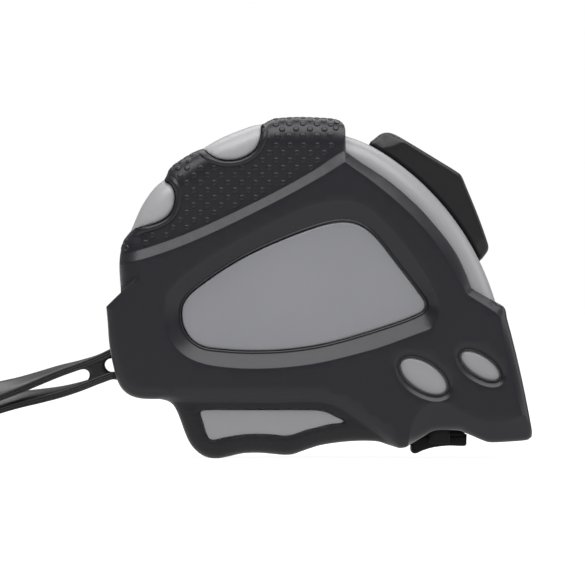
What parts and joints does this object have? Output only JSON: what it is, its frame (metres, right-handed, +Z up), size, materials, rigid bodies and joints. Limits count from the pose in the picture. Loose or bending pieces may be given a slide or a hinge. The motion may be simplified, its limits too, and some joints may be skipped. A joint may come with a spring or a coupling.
{
  "type": "tape measure",
  "caption": "Pocket tape measure with a rubber-jacketed plastic case, thumb lock, finger brake, end hook, belt clip and wrist strap.",
  "frame": {"origin": "under the middle of the case and its belt clip, on the surface the case stands on; the wrist strap isn't counted", "axes": "+X forward, the way the blade comes out of the mouth; +Z up; -Y is the side without the belt clip"},
  "size_m": [0.1857, 0.044, 0.068],
  "materials": {
    "case_plastic": "fine matt",
    "plate_plastic": "fine satin",
    "jacket_rubber": "matt, moulded",
    "black_plastic": "satin",
    "reel_plastic": "natural",
    "disc_plastic": "natural",
    "spring_steel": "blued",
    "plain_steel": "brushed",
    "plated_steel": "zinc plated",
    "blade_paint": "lacquered steel",
    "pad_rubber": "matt",
    "strap_rubber": "satin"
  },
  "bodies": {
    "case": {"case_left": "case_plastic", "case_right": "case_plastic", "jacket_left": "jacket_rubber", "jacket_right": "jacket_rubber", "label_plate_left": "plate_plastic", "label_plate_right": "plate_plastic", "centre_post": "plain_steel", "side_disc_left": "disc_plastic", "side_disc_right": "disc_plastic", "power_spring": "spring_steel", "mouth_bumper": "pad_rubber", "mouth_guide": "plain_steel", "brake_springs": "spring_steel", "case_screws": "plated_steel", "belt_clip_root": "plain_steel", "belt_clip_screw": "plated_steel", "strap_pin": "plain_steel", "wrist_strap": "strap_rubber", "strap_bridge": "strap_rubber"},
    "reel": {"reel": "reel_plastic", "spring_cover": "plain_steel", "blade_coil": "blade_paint"},
    "blade_tip": {"blade_tip": "blade_paint", "hook_rivets": "plated_steel"},
    "blade_second": {"blade_second": "blade_paint"},
    "blade_third": {"blade_third": "blade_paint"},
    "blade_fourth": {"blade_fourth": "blade_paint"},
    "hook": {"end_hook": "plain_steel"},
    "thumb_lock": {"thumb_lock": "black_plastic", "lock_slider": "black_plastic", "lock_pad": "pad_rubber"},
    "brake": {"brake_button": "black_plastic", "brake_pad": "pad_rubber"},
    "belt_clip": {"belt_clip": "plain_steel"}
  },
  "joints": [
    {"name": "blade_pull", "type": "slide", "parent": "case", "child": "blade_tip", "axis": [1, 0, 0], "range_m": [0, 0.216], "stiffness_N_per_m": 15, "springref_m": -0.2},
    {"name": "blade_second_slide", "type": "slide", "parent": "case", "child": "blade_second", "axis": [1, 0, 0], "range_m": [0, 0.162]},
    {"name": "blade_third_slide", "type": "slide", "parent": "case", "child": "blade_third", "axis": [1, 0, 0], "range_m": [0, 0.108]},
    {"name": "blade_fourth_slide", "type": "slide", "parent": "case", "child": "blade_fourth", "axis": [1, 0, 0], "range_m": [0, 0.054]},
    {"name": "reel_spin", "type": "hinge", "parent": "case", "child": "reel", "pos_m": [-0.002, -0.003, 0.032], "axis": [0, -1, 0], "continuous": true, "deforming": ["power_spring"]},
    {"name": "hook_play", "type": "slide", "parent": "blade_tip", "child": "hook", "axis": [1, 0, 0], "range_m": [0, 0.001]},
    {"name": "thumb_lock_slide", "type": "hinge", "parent": "case", "child": "thumb_lock", "pos_m": [-0.0159, -0.003, 0.0161], "axis": [0, 1, 0], "range_deg": [0, 8]},
    {"name": "brake_press", "type": "slide", "parent": "case", "child": "brake", "axis": [0, 0, 1], "range_m": [0, 0.002], "stiffness_N_per_m": 800, "springref_m": -0.003, "deforming": ["brake_springs"]},
    {"name": "belt_clip_flex", "type": "hinge", "parent": "case", "child": "belt_clip", "pos_m": [-0.002, 0.0156, 0.034], "axis": [1, 0, 0], "range_deg": [0, 6], "stiffness_Nm_per_rad": 0.5}
  ],
  "couplings": [
    {"joint": "blade_second_slide", "follows": "blade_pull", "ratio": 0.75},
    {"joint": "blade_third_slide", "follows": "blade_pull", "ratio": 0.5},
    {"joint": "blade_fourth_slide", "follows": "blade_pull", "ratio": 0.25},
    {"joint": "reel_spin", "follows": "blade_pull", "rad_per_m": 46.5}
  ]
}
